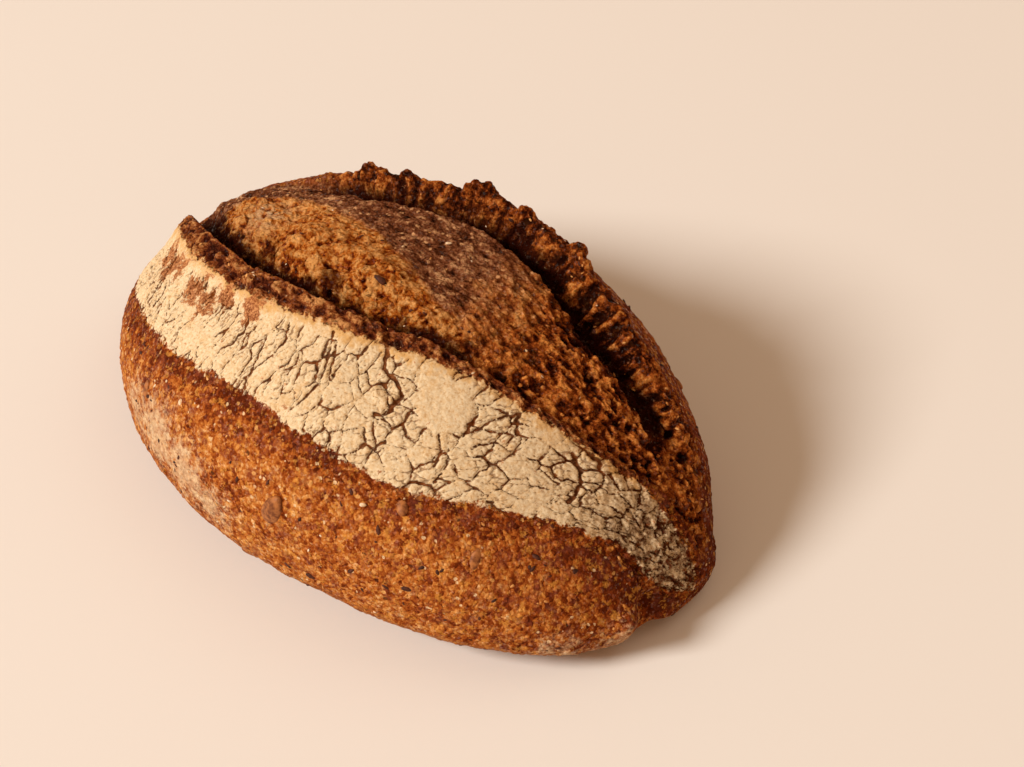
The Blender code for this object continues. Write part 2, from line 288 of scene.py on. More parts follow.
def slashedForm():
    e = earShape
    around = unit(np.roll(base, -1, 1) - np.roll(base, 1, 1))
    outward = gridNormals(base)
    frontEar, backEar = height("frontEar"), height("backEar")
    for place, rise, reach in e["spikes"]:
        backEar = backEar + rise * np.exp(-(((station - place) * loafForm["length"] / reach) ** 2) * 2)
    crestNoise = bumps(base * (1, 0.2, 0.2), 0.007, 3, 5.0)
    frontEar = frontEar * (1 + 0.30 * crestNoise)
    backEar = backEar * (1 + 0.35 * crestNoise)
    frontLean = e["frontLean"] * np.clip(frontEar / e["fullLeanHeight"], 0, 1)
    backLean = e["backLean"] * np.clip(backEar / e["fullLeanHeight"], 0, 1)
    upFront, overFront = slash(frontRun, scale, frontEar, height("frontValley"), frontLean,
                               curveThrough(e["frontOpening"], station), **e["frontSection"])
    upBack, overBack = slash(-backRun, scale, backEar, height("backValley"), backLean,
                             curveThrough(e["backOpening"], station), **e["backSection"])
    torn = ramp(frontRun, 3 * mm, 8 * mm) * (1 - ramp(frontRun, 26 * mm, 38 * mm))
    torn *= 1 - ramp(station, 0.2, 0.5)
    rough = ramp(frontRun, 0, 10 * mm) * ramp(-backRun, 0, 8 * mm)
    wall = ramp(-backRun, 0, 2 * mm) * (1 - ramp(-backRun, 5 * mm, 8 * mm))
    up = upFront + upBack + torn * (0.8 * mm + formBump("torn"))
    for place, placeAngle, rise, radius in e["lumps"]:
        middle = plainForm(np.array(place), np.array(float(placeAngle)))
        up += rise * np.exp(-np.sum((base - middle) ** 2, -1) / radius**2)
    up += rough * formBump("rough") + formBump("broad")
    over = overFront - overBack + wall * formBump("wall")
    return base + outward * (up * scale)[..., None] + around * over[..., None]


surface = slashedForm()
print("loaf: slashed form done")

# where each kind of crust lies; every mask runs from 0 to 1, every room is in millimetres

crustZones = {
    # bare lip above the flour, as (station, millimetres)
    "lipWidth": [(-1, 2), (-0.8, 3.5), (-0.63, 5.5), (-0.3, 5.5), (0.1, 4.8), (0.35, 3), (0.6, 1.6),
                 (0.8, 0.6), (0.92, 0), (1, -2)],
    "edgeWander": 1.5 * mm,
    "smoothPatch": (0.37, 111, 0.0085),
    "blister": (0.23, 116, 0.0045),
    "smears": [(-0.50, 172, 0.012, 0.8), (-0.36, 170, 0.014, 1.0), (-0.22, 174, 0.013, 1.0),
               (-0.10, 178, 0.011, 0.8), (0.86, 186, 0.012, 0.45), (0.95, 184, 0.010, 0.55)],
    "brownPatches": [(-0.73, 116, 0.0060), (-0.66, 119, 0.0065), (-0.60, 117, 0.0050), (-0.48, 121, 0.0060),
                     (-0.41, 122, 0.0060), (-0.35, 118, 0.0045), (-0.24, 117, 0.0050)],
    "whitePatch": (-0.49, 92, 0.009),
    "stripLine": [(-1, 88), (-0.76, 92), (-0.5, 84), (-0.28, 86), (-0.1, 88), (0.05, 91), (0.26, 94),
                  (0.4, 96), (1, 94)],
    "stripWander": 3.0 * mm,
    # edges of the zones, from where each begins to where it is full: stations or distances,
    # and for the underside how far the skin faces down
    "openPastFront": (1.2 * mm, 3.4 * mm),
    "openPastBack": (0.5 * mm, 3.0 * mm),
    "openLeft": (-0.97, -0.88),
    "openRight": (0.93, 0.99),
    "stripEdge": (-2.0 * mm, 2.0 * mm),
    "stripRight": (0.12, 0.42),
    "bloomRight": (0.18, 0.42),
    "earBehind": (-8 * mm, -4 * mm),
    "earFront": (2.5 * mm, 7 * mm),
    "earLeft": (-0.55, -0.38),
    "earRight": (0.80, 0.92),
    "lipEdge": (-2.5 * mm, 0),
    "lipAboveFlour": (8 * mm, 16 * mm),
    "lipRight": (0.72, 0.9),
    "bandGlow": (-20 * mm, -2 * mm),
    "tipCrumbs": (0.70, 0.90),
    # the right tip: the flour thins, crumbles and greys there, and crust and flour get painted shade
    "tipDustAndShade": (0.72, 0.93),
    "underneath": (0.05, 0.6),
}

noisePatterns = {  # size, octaves, seed
    "wander": (0.010, 3, 7.0),
    "fineWander": (0.0028, 2, 8.0),
    "midNoise": (0.0060, 2, 9.0),
    "grain": (0.0016, 2, 10.0),
}


def spot(place, placeAngle, radius):
    middle = plainForm(np.array(place), np.array(float(placeAngle)))
    return np.exp(-np.sum((base - middle) ** 2, -1) / radius**2)


def zone(value, name):  # 0 outside the zone's edge, 1 inside
    return ramp(value, *crustZones[name])


wander, fineWander, midNoise, grain = (bumps(base, *pattern) for pattern in noisePatterns.values())
lipWidth = curveThrough(crustZones["lipWidth"], station) * mm
edge = crustZones["edgeWander"]
aboveLower = flourRun + edge * (wander + 0.7 * fineWander)
belowLip = -frontRun - lipWidth * scale + edge * (0.5 * wander + 0.5 * fineWander)
flourRoom = np.minimum(aboveLower, belowLip) / mm
flourRoom = np.clip(flourRoom, -4, 4)
flour = ramp(flourRoom, -1.2, 1.2)
brown = np.zeros_like(flour)
for place, placeAngle, radius in crustZones["brownPatches"]:
    brown = np.maximum(brown, spot(place, placeAngle, radius))
brown += (0.5 * midNoise + 0.3 * fineWander) * ramp(brown, 0.02, 0.3)
smear = np.zeros_like(flour)
for place, placeAngle, radius, share in crustZones["smears"]:
    smear = np.maximum(smear, share * spot(place, placeAngle, radius))
smear = np.clip(smear + 0.35 * (fineWander + 0.5 * midNoise) * ramp(smear, 0.1, 0.4), 0, 1)

openTop = zone(frontRun, "openPastFront") * zone(-backRun, "openPastBack")
openTop *= zone(station, "openLeft") * (1 - zone(station, "openRight"))
stripRun, _ = runFrom(base, angle, curveThrough(crustZones["stripLine"], rowStation))
strip = zone(stripRun + crustZones["stripWander"] * (wander + 0.5 * midNoise), "stripEdge")
strip *= 1 - zone(station + 0.08 * midNoise, "stripRight")
bloom = (1 - strip) * (1 - zone(station + 0.16 * wander + 0.05 * midNoise, "bloomRight")) * openTop
strip = strip * openTop
roughRight = np.clip(openTop - bloom - strip, 0, 1)
earTop = zone(backRun, "earBehind") * (1 - zone(backRun, "earFront"))
earTop *= zone(station, "earLeft") * (1 - zone(station, "earRight"))
lip = zone(-frontRun, "lipEdge") * (1 - flour) * zone(flourRun, "lipAboveFlour")
lip *= 1 - zone(station, "lipRight")
print("loaf: crust zones done")

# fine relief: cracks in the flour, grain in the crust, fibres and pores in the torn dough

crackShape = {
    # plate sizes along the loaf and across it, as (station, millimetres)
    "along": [(-1, 4.2), (-0.6, 4.4), (-0.2, 5.6), (0.2, 6.8), (0.55, 7.2), (0.75, 4.8), (1, 3.2)],
    "across": [(-1, 13), (-0.2, 13), (0.2, 9.5), (0.55, 8), (0.75, 5.2), (1, 3.6)],
    # main and fine cracks: share of the plate sizes, half width, how it swings, widest half width, seed
    "main": (1.0, 0.15 * mm, (1.0, 3.0), 0.34 * mm, 3.0),
    "fine": (0.46, 0.05 * mm, (0.4, 6.0), 0.20 * mm, 5.0),
    "narrowest": -0.22 * mm,
    "depth": 1.0 * mm,
    "fineDepth": 0.45 * mm,
    # the widest cracks: half width, then (station, angle) along each
    "wide": [
        (0.75 * mm, [(0.150, 107.5), (0.169, 109.0), (0.182, 112.0), (0.233, 113.0), (0.271, 115.0),
                     (0.275, 119.0), (0.265, 122.0), (0.246, 122.5)]),
        (0.30 * mm, [(0.246, 122.5), (0.271, 127.0), (0.309, 131.0)]),
        (0.65 * mm, [(0.659, 100.0), (0.698, 102.0), (0.716, 104.0), (0.725, 108.0), (0.725, 112.0)]),
        (0.30 * mm, [(0.522, 103.0), (0.556, 106.0), (0.566, 110.0), (0.560, 113.0)]),
        (0.42 * mm, [(0.407, 118.0), (0.442, 122.0), (0.442, 126.0)]),
        (0.30 * mm, [(0.013, 112.0), (0.052, 118.0), (0.078, 124.0), (0.065, 129.0), (0.052, 134.0)]),
    ],
}


def plateRoom(across, along, acrossSize, alongSize, seed):  # distance to the plate's edge, and how it runs
    flat = np.stack([along, across, 0 * along], -1)
    distance, place = cells(flat, seed)
    gap = place[..., 1, :] - place[..., 0, :]
    length = np.maximum(np.linalg.norm(gap, axis=-1), 1e-6)
    slope = np.hypot(gap[..., 0] / alongSize, gap[..., 1] / acrossSize) / length
    room = (distance[..., 1] ** 2 - distance[..., 0] ** 2) / (2 * length)
    return room / slope, np.abs(gap[..., 0]) / alongSize / length / slope


def roomToLine(points, line):  # distance from each point to a line through (station, angle) places
    places = np.array([plainForm(np.array(a), np.array(b)) for a, b in line])
    rooms = []
    for start, end in zip(places, places[1:]):
        along = end - start
        share = np.clip((points - start) @ along / (along @ along), 0, 1)
        rooms.append(np.linalg.norm(points - start - share[..., None] * along, axis=-1))
    return np.min(rooms, axis=0)


def bandCracks():
    c = crackShape
    lo, hi = columnStart["band"], columnStart["crevice"]
    part = base[:, lo:hi]
    s, here = flourRun[:, lo:hi], station[:, lo:hi]
    warpX = 1.3 * mm * bumps(part, 0.006, 2, 21.0) + 0.45 * mm * bumps(part, 0.0017, 2, 22.0)
    warpS = 1.3 * mm * bumps(part, 0.007, 2, 23.0) + 0.45 * mm * bumps(part, 0.0017, 2, 24.0)
    keep = bumps(part, 0.012, 2, 25.0)
    inner = ramp(-frontRun[:, lo:hi] - lipWidth[:, lo:hi], 0.5 * mm, 5 * mm)
    calm = ramp(spot(*crustZones["smoothPatch"])[:, lo:hi], 0.22, 0.34)
    hide = 1.5 * mm * calm + 0.5 * mm * (1 - inner) * (1 - ramp(here, 0.0, 0.3))
    rooms = []
    for share, halfWidth, (least, swing), widest, seed in (c["main"], c["fine"]):
        alongSize = share * curveThrough(c["along"], here) * mm
        acrossSize = share * curveThrough(c["across"], here) * mm
        steps = np.diff(part[:, 0, 0]) * 2 / (alongSize[1:, 0] + alongSize[:-1, 0])
        along = np.concatenate([[0], np.cumsum(steps)])[:, None] + warpX / alongSize
        room, runsAcross = plateRoom((s + warpS) / acrossSize, along, acrossSize, alongSize, seed)
        partly = (1 - ramp(runsAcross, 0.35, 0.8)) * (1 - ramp(here, -0.15, 0.25))
        wide = np.clip(halfWidth * (least + swing * keep), c["narrowest"], widest)
        rooms.append(room - wide + 0.45 * mm * partly + hide)
    shaken = part + np.stack([warpX, warpS, 0 * warpX], -1) * 0.6
    for halfWidth, line in c["wide"]:
        uneven = 0.75 + 1.0 * fineWander[:, lo:hi] + 0.6 * keep
        rooms[0] = np.minimum(rooms[0], roomToLine(shaken, line) - halfWidth * uneven)
    filled = [np.full_like(flour, 3.0) for _ in rooms]
    for full, room in zip(filled, rooms):
        full[:, lo:hi] = np.clip(room / mm, -1, 3)
    return filled


crackRoom, fineCrackRoom = bandCracks()
print("loaf: flour cracks done")

reliefDepth = {
    # brown crust
    "grain": 0.16 * mm,
    "pebbles": 0.48 * mm,
    "crustWaves": 0.22 * mm,
    # flour, also where it crumbles at the right tip
    "flourCrust": 0.30 * mm,
    "flourGrain": 0.10 * mm,
    "flourWaves": 0.20 * mm,
    "tipCrumbs": 0.8 * mm,
    "tipGrain": 0.5 * mm,
    # torn dough
    "tornFibres": 1.25 * mm,
    "tornGrain": 0.55 * mm,
    "tornWaves": 0.6 * mm,
    "roughWaves": 0.9 * mm,
    "stripWaves": 0.45 * mm,
    "stripPits": 0.3 * mm,
    "pores": 1.5 * mm,
    # torn edges
    "crags": 1.5 * mm,
    "edgeWaves": 0.75 * mm,
    "edgeGrain": 0.35 * mm,
    "lipFibres": 1.4 * mm,
    "lipWaves": 0.7 * mm,
    "lipGrain": 0.4 * mm,
    # the ring and the smooth round patch in the flour
    "blister": 0.8 * mm,
    "smoothPatch": 0.25 * mm,
}

chipDistance, chipPlace = cells(base / (2.1 * mm), 11.0)  # chips of grain that stand out of the crust
chipSize = cellNumber(chipPlace[..., 0, :])
chip = np.clip(1 - (chipDistance[..., 0] / 0.62) ** 2, 0, 1)
fibreSpace = base.copy()
fibreSpace[..., 0] = 0.32 * (base[..., 0] + 0.5 * base[..., 1])
fibres = 1 - 2 * np.abs(bumps(fibreSpace, 0.0042, 3, 12.0))
crags = bumps(surface, 0.0052, 3, 13.0)
poreDistance, porePlace = cells(base / (3.0 * mm) + 0.5 * fineWander[..., None], 14.0)
pore = (1 - ramp(poreDistance[..., 0], 0.15, 0.45)) * ramp(cellNumber(porePlace[..., 0, :]), 0.62, 0.68)
print("loaf: grain, fibres and pores done")


def fineRelief():
    r, c = reliefDepth, crackShape
    standing = chip * ramp(chipSize, 0.5, 0.55) * chipSize
    crust = r["pebbles"] * standing + r["grain"] * grain + r["crustWaves"] * midNoise
    up = crust * (1 - 0.75 * flour) * (1 - openTop)
    up += flour * (r["flourCrust"] + r["flourGrain"] * grain + r["flourWaves"] * fineWander)
    atTip = zone(station + 0.05 * midNoise, "tipCrumbs")
    up += flour * atTip * (r["tipCrumbs"] * fineWander + r["tipGrain"] * grain)
    up -= c["depth"] * flour * (1 - ramp(crackRoom, -0.25, 0.45))
    up -= c["fineDepth"] * flour * (1 - ramp(fineCrackRoom, -0.1, 0.35))
    torn = r["tornFibres"] * (fibres - 0.45) * (0.6 + 0.7 * roughRight) + r["tornGrain"] * grain
    up += openTop * (1 - 0.5 * strip) * torn
    up -= openTop * r["pores"] * pore * (0.35 + 0.65 * (1 - strip))
    up += openTop * r["tornWaves"] * midNoise + roughRight * r["roughWaves"] * fineWander
    up += strip * (r["stripWaves"] * fineWander - r["stripPits"] * ramp(midNoise, 0.1, 0.5))
    ragged = r["crags"] * crags + r["edgeWaves"] * fineWander + r["edgeGrain"] * grain
    up += np.clip(earTop + 0.45 * lip, 0, 1) * ragged
    up += lip * (r["lipFibres"] * (fibres - 0.45) + r["lipWaves"] * fineWander + r["lipGrain"] * grain)
    ring = spot(*crustZones["blister"])
    up += r["blister"] * np.exp(-((ring - 0.45) / 0.18) ** 2) * ramp(ring, 0.05, 0.2)
    up += r["smoothPatch"] * ramp(spot(*crustZones["smoothPatch"]), 0.2, 0.36)
    return up


relief = fineRelief()
surface = surface + gridNormals(surface) * (relief * np.clip(scale * 1.6, 0, 1))[..., None]

margin = 0.45 * mm  # keeps the seeds and flakes inside the CAD's box too
tips = 0.5 * loafForm["length"]
low = np.array((-tips, surface[..., 1].min(), 0.0))
high = np.array((tips, surface[..., 1].max(), surface[..., 2].max()))
grow = np.minimum((cadHigh - cadLow - (2 * margin, 2 * margin, margin)) / (high - low), 1.0)
shiftBy = (cadLow + cadHigh) / 2 - (low + high) / 2
shiftBy[2] = 0


def place(points):  # from the form's own place to the CAD's
    centre = (low + high) / 2
    moved = (points - (centre[0], centre[1], 0)) * grow + (centre[0], centre[1], 0)
    return moved + shiftBy


surface = place(surface)
surface[..., 2] = np.maximum(surface[..., 2], 0.05 * mm)
normals = gridNormals(surface)
firstTip = place(np.array((-tips, surface[0, :, 1].mean() - shiftBy[1], surface[0, :, 2].mean())))
lastTip = place(np.array((tips, surface[-1, :, 1].mean() - shiftBy[1], surface[-1, :, 2].mean())))
print("loaf: relief done, grown by", np.round(grow, 4))

# numbers for the finish, carried by the mesh

# painted shade: the crevice behind the front ear, the valley before the back ear and the torn pockets, marked
# here to be painted dark in the colour
unevenRun = 2.2 * mm * (wander + 0.5 * midNoise)
frontOpening = curveThrough(earShape["frontOpening"], station)
backOpening = curveThrough(earShape["backOpening"], station)
frontShade = ramp(frontRun, 0.8 * mm, 2.4 * mm)
frontShade *= 1 - ramp((frontRun + 1.3 * unevenRun) / frontOpening, 8.5 * mm, 14 * mm)
frontShade *= ramp(height("frontValley"), 1.5 * mm, 5 * mm)
backDepth = (-backRun + 0.4 * unevenRun) / backOpening - 1.6 * mm * ramp(station, 0.08, 0.3)
backShade = ramp(backDepth, 1.0 * mm, 2.6 * mm)
backShade *= 1 - ramp((-backRun + unevenRun) / backOpening, 12 * mm, 18 * mm)
backShade *= ramp(height("backValley"), 1 * mm, 4 * mm)
pockets = np.zeros_like(flour)
for pocketStation, pocketAngle, rise, radius in earShape["lumps"]:
    if rise < 0:
        pockets = np.maximum(pockets, spot(pocketStation, pocketAngle, radius))
pockets = ramp(pockets + 0.2 * midNoise, 0.35, 0.85)
paintedShade = np.clip(np.maximum(np.maximum(frontShade * 0.8, backShade), 0.62 * pockets), 0, 1) * openTop

masks = {
    "flourRoom": flourRoom,
    "crackRoom": crackRoom,
    "fineCrackRoom": fineCrackRoom,
    "smear": smear,
    "brown": brown,
    "paintedShade": paintedShade,
    "bloom": bloom,
    "strip": strip,
    "rough": roughRight,
    "ear": np.clip(earTop, 0, 1),
    "lip": lip,
    # painted shade in the low spots of the relief and painted light on its tops
    "paintedReliefShade": np.clip(0.5 - relief / (2.4 * mm), 0, 1),
    "lipRoom": np.clip(belowLip / mm, -4, 8),
    "bandGlow": zone(flourRun, "bandGlow") * (1 - flour) * (1 - openTop),
    "tipDustAndShade": zone(station + 0.05 * midNoise, "tipDustAndShade"),
    "underneath": zone(-normals[..., 2], "underneath"),
    "white": spot(*crustZones["whitePatch"]) * ramp(fineWander, -0.6, 0.1),
}


def loafPatch(name, first, last):  # one strip of the loaf's skin between two lines of the grid
    a, b = columnStart[first], columnStart[last]
    columns = [k % surface.shape[1] for k in range(a, b + 1)]
    rows = surface.shape[0]
    points = surface[:, columns].reshape(-1, 3)
    pointNormals = normals[:, columns].reshape(-1, 3)
    width = len(columns)
    index = np.arange(rows * width).reshape(rows, width)
    quads = np.stack([index[:-1, :-1], index[1:, :-1], index[1:, 1:], index[:-1, 1:]], -1).reshape(-1, 4)
    tipA, tipB = rows * width, rows * width + 1
    fanA = np.stack([np.full(width - 1, tipA), index[0, :-1], index[0, 1:]], -1)
    fanB = np.stack([np.full(width - 1, tipB), index[-1, 1:], index[-1, :-1]], -1)
    points = np.vstack([points, firstTip, lastTip])
    pointNormals = np.vstack([pointNormals, (-1, 0, 0), (1, 0, 0)])
    mesh = bpy.data.meshes.new(name)
    mesh.from_pydata([], [], [])
    mesh.vertices.add(len(points))
    mesh.vertices.foreach_set("co", points.ravel())
    loops = np.concatenate([quads.ravel(), fanA.ravel(), fanB.ravel()])
    sizes = np.concatenate([np.full(len(quads), 4), np.full(len(fanA) + len(fanB), 3)])
    mesh.loops.add(len(loops))
    mesh.loops.foreach_set("vertex_index", loops)
    mesh.polygons.add(len(sizes))
    mesh.polygons.foreach_set("loop_start", np.concatenate([[0], np.cumsum(sizes)[:-1]]))
    mesh.update(calc_edges=True)
    mesh.validate()
    mesh.shade_smooth()
    mesh.normals_split_custom_set_from_vertices(pointNormals)
    for maskName, values in masks.items():
        flat = np.append(values[:, columns].reshape(-1), (values[0].mean(), values[-1].mean()))
        layer = mesh.attributes.new(maskName, "FLOAT", "POINT")
        layer.data.foreach_set("value", flat)
    piece = bpy.data.objects.new(name, mesh)
    bpy.context.scene.collection.objects.link(piece)
    return piece


class Finish:  # a short way to lay out a material's nodes
    def __init__(self, name):
        self.material = bpy.data.materials.new(name)
        self.material.use_nodes = True
        self.tree = self.material.node_tree
        self.shader = self.tree.nodes["Principled BSDF"]
        coordinate = self.tree.nodes.new("ShaderNodeTexCoord")
        self.place = coordinate.outputs["Object"]

    def link(self, a, b):
        self.tree.links.new(a, b)

    def set(self, socket, value):
        if isinstance(value, bpy.types.NodeSocket):
            self.link(value, socket)
        elif isinstance(value, tuple) and len(value) == 3 and socket.type == "RGBA":
            socket.default_value = (*value, 1.0)
        else:
            socket.default_value = value

    def mask(self, name):
        node = self.tree.nodes.new("ShaderNodeAttribute")
        node.attribute_name = name
        return node.outputs["Fac"]

    def math(self, kind, a, b):
        node = self.tree.nodes.new("ShaderNodeMath")
        node.operation = kind
        self.set(node.inputs[0], a)
        self.set(node.inputs[1], b)
        return node.outputs[0]

    def times(self, a, b):
        return self.math("MULTIPLY", a, b)

    def without(self, a):  # 1 less a
        return self.math("SUBTRACT", 1.0, a)

    def greatest(self, *values):
        result = values[0]
        for value in values[1:]:
            result = self.math("MAXIMUM", result, value)
        return result

    def total(self, *parts):  # each part is (value, share)
        result = None
        for value, share in parts:
            node = self.tree.nodes.new("ShaderNodeMath")
            node.operation = "MULTIPLY_ADD"
            self.set(node.inputs[0], value)
            self.set(node.inputs[1], share)
            self.set(node.inputs[2], 0.0 if result is None else result)
            result = node.outputs[0]
        return result

    def mix(self, amount, a, b):
        node = self.tree.nodes.new("ShaderNodeMix")
        node.data_type = "RGBA"
        node.clamp_factor = True
        self.set(node.inputs[0], amount)
        self.set(node.inputs[6], a)
        self.set(node.inputs[7], b)
        return node.outputs[2]

    def speckle(self, size, detail=3.0, rough=0.55, stretch=None):
        node = self.tree.nodes.new("ShaderNodeTexNoise")
        node.inputs["Scale"].default_value = 1 / size
        node.inputs["Detail"].default_value = detail
        node.inputs["Roughness"].default_value = rough
        self.link(self.stretched(stretch) if stretch else self.place, node.inputs["Vector"])
        return node.outputs["Fac"]

    def stretched(self, stretch):  # the place, drawn out where stretch is below 1
        node = self.tree.nodes.new("ShaderNodeMapping")
        node.inputs["Scale"].default_value = stretch
        self.link(self.place, node.inputs["Vector"])
        return node.outputs["Vector"]

    def shaken(self, amount, size):  # the place, moved about by noise
        node = self.tree.nodes.new("ShaderNodeTexNoise")
        node.inputs["Scale"].default_value = 1 / size
        node.inputs["Detail"].default_value = 2.0
        self.link(self.place, node.inputs["Vector"])
        shake = self.tree.nodes.new("ShaderNodeVectorMath")
        shake.operation = "MULTIPLY_ADD"
        self.link(node.outputs["Color"], shake.inputs[0])
        shake.inputs[1].default_value = (2 * amount,) * 3
        self.link(self.place, shake.inputs[2])
        return shake.outputs["Vector"]

    def chips(self, size, place):  # distance to a chip's middle, and two random numbers for the chip
        node = self.tree.nodes.new("ShaderNodeTexVoronoi")
        node.inputs["Scale"].default_value = 1 / size
        self.link(place, node.inputs["Vector"])
        split = self.tree.nodes.new("ShaderNodeSeparateColor")
        self.link(node.outputs["Color"], split.inputs["Color"])
        return node.outputs["Distance"], split.outputs["Red"], split.outputs["Green"]

    def fade(self, value, low, high):  # 0 at low, 1 at high
        node = self.tree.nodes.new("ShaderNodeMapRange")
        node.interpolation_type = "SMOOTHSTEP"
        self.set(node.inputs["Value"], value)
        node.inputs["From Min"].default_value = low
        node.inputs["From Max"].default_value = high
        return node.outputs["Result"]

    def ramp(self, value, stops):
        node = self.tree.nodes.new("ShaderNodeValToRGB")
        elements = node.color_ramp.elements
        while len(elements) < len(stops):
            elements.new(0.5)
        for element, (at, colour) in zip(elements, stops):
            element.position = at
            element.color = (*colour, 1.0)
        self.set(node.inputs["Fac"], value)
        return node.outputs["Color"]

    def bump(self, value, depth, strength=1.0, before=None):
        node = self.tree.nodes.new("ShaderNodeBump")
        node.inputs["Distance"].default_value = depth
        node.inputs["Strength"].default_value = strength
        self.set(node.inputs["Height"], value)
        if before is not None:
            self.link(before, node.inputs["Normal"])
        return node.outputs["Normal"]


breadColours = {
    "crust": [(0.10, (0.100, 0.016, 0.004)), (0.29, (0.225, 0.040, 0.006)), (0.44, (0.385, 0.096, 0.015)),
              (0.59, (0.540, 0.182, 0.036)), (0.74, (0.690, 0.315, 0.095)), (0.92, (0.820, 0.560, 0.310))],
    "mauve": (0.215, 0.054, 0.032),
    "gold": (0.720, 0.310, 0.055),
    "brown": ((0.200, 0.045, 0.012), (0.560, 0.230, 0.080)),
    "bigFlake": [(0.14, (0.030, 0.012, 0.008)), (0.24, (0.16, 0.04, 0.02)), (0.36, (0.58, 0.21, 0.045)),
                 (0.85, (0.74, 0.38, 0.12))],
    "paleGrain": (0.820, 0.560, 0.310),
    "flour": [(0.24, (0.480, 0.250, 0.100)), (0.42, (0.700, 0.495, 0.280)), (0.66, (0.800, 0.650, 0.440))],
    "flourTan": (0.620, 0.335, 0.105),
    "flourGrey": (0.165, 0.068, 0.027),
    "flourPale": (0.800, 0.585, 0.350),
    "crack": ((0.070, 0.014, 0.002), (0.210, 0.052, 0.007)),
    "smear": (0.620, 0.370, 0.200),
    "bloom": [(0.14, (0.035, 0.005, 0.001)), (0.32, (0.225, 0.032, 0.004)), (0.46, (0.510, 0.140, 0.016)),
              (0.72, (0.800, 0.370, 0.110))],
    "strip": [(0.20, (0.026, 0.006, 0.002)), (0.42, (0.150, 0.040, 0.014)), (0.58, (0.290, 0.105, 0.044)),
              (0.78, (0.640, 0.330, 0.150))],
    "rough": [(0.22, (0.018, 0.003, 0.001)), (0.40, (0.150, 0.025, 0.004)), (0.56, (0.400, 0.092, 0.013)),
              (0.80, (0.760, 0.280, 0.060))],
    "edge": [(0.22, (0.040, 0.006, 0.003)), (0.42, (0.165, 0.035, 0.011)), (0.60, (0.370, 0.105, 0.026)),
             (0.84, (0.700, 0.320, 0.110))],
    # painted shade for the bottoms of the slashes and the torn pockets
    "paintedShade": (0.036, 0.0052, 0.0014),
    "under": ((0.47, 0.21, 0.075), (0.35, 0.10, 0.02)),
}


breadGrain = {  # sizes of the patterns
    "fine": 1.0 * mm,
    "grit": 3.4 * mm,
    "gritRun": 3.6 * mm,
    "lipRun": 2.6 * mm,
    "blotch": 7.5 * mm,
    "broad": 30 * mm,
    "mauve": 5.2 * mm,
    "gold": 3.6 * mm,
    "flake": 1.6 * mm,
    "smallFlake": 0.9 * mm,
    "bigFlake": 3.2 * mm,
    "crumb": 2.1 * mm,
    "pits": 0.8 * mm,
}

breadRelief = {  # depths of the bump that is finer than the mesh
    "torn": 3.0 * mm,
    "skin": 1.1 * mm,
    "crack": 0.5 * mm,
    "pits": 0.2 * mm,
}


class BreadFinish(Finish):  # a finish with the loaf's own patterns at hand
    def __init__(self, name):
        super().__init__(name)
        g = breadGrain
        place = self.shaken(0.7 * mm, 2.1 * mm)
        self.fine = self.speckle(g["fine"], 3.0, 0.68)
        self.blotch = self.speckle(g["blotch"], 4.0, 0.62)
        self.broad = self.speckle(g["broad"], 2.0, 0.5)
        self.grit = self.speckle(g["grit"], 6.0, 0.70)
        self.gritRun = self.speckle(g["gritRun"], 6.0, 0.70, (0.42, 0.8, 1.0))  # drawn out along the loaf
        self.flakeGap, self.flakeTone, _ = self.chips(g["flake"], place)
        self.smallTone = self.chips(g["smallFlake"], place)[1]
        self.bigGap, self.bigTone, self.bigPick = self.chips(g["bigFlake"], place)
        self.crumbGap, self.crumbTone, self.crumbPick = self.chips(g["crumb"], place)
        self.crumbUp = self.fade(self.crumbGap, 0.75, 0.15)
        self.paintedReliefShade = self.mask("paintedReliefShade")


def brownCrust(f):  # flakes of grain from dark to golden, darker in patches and just under the flour, with painted shade in the relief's low spots
    c = breadColours
    # towards the right tip the crust is darker: painted shade
    tone = f.total((f.flakeTone, 0.34), (f.smallTone, 0.18), (f.fine, 0.40), (f.grit, 0.70), (f.blotch, 0.80),
                   (f.broad, 0.35), (f.mask("bandGlow"), -0.23), (f.mask("tipDustAndShade"), -0.15),
                   (f.fade(f.paintedReliefShade, 0.5, 0.75), -0.10), (-0.915, 1.0))
    crust = f.ramp(tone, c["crust"])
    goldOn = f.fade(f.total((f.speckle(breadGrain["gold"], 5.0, 0.70), 1.0), (f.fine, 0.25)), 0.66, 0.74)
    crust = f.mix(f.times(goldOn, 0.55), crust, c["gold"])
    mauveOn = f.fade(f.speckle(breadGrain["mauve"], 4.0, 0.66), 0.50, 0.64)
    crust = f.mix(f.times(mauveOn, 0.45), crust, c["mauve"])
    grainOn = f.fade(f.total((f.bigGap, 1.0), (f.fine, 0.30)), 0.44, 0.38)
    grainOn = f.times(grainOn, f.fade(f.bigPick, 0.79, 0.80))
    crust = f.mix(f.times(grainOn, 0.75), crust, f.ramp(f.bigTone, c["bigFlake"]))
    paleOn = f.fade(f.total((f.crumbGap, 1.0), (f.fine, 0.45)), 0.56, 0.48)
    paleOn = f.times(paleOn, f.fade(f.crumbPick, 0.945, 0.95))
    crust = f.mix(f.times(paleOn, 0.85), crust, c["paleGrain"])
    return f.mix(f.times(f.mask("underneath"), 0.75), crust, f.mix(f.blotch, *c["under"]))


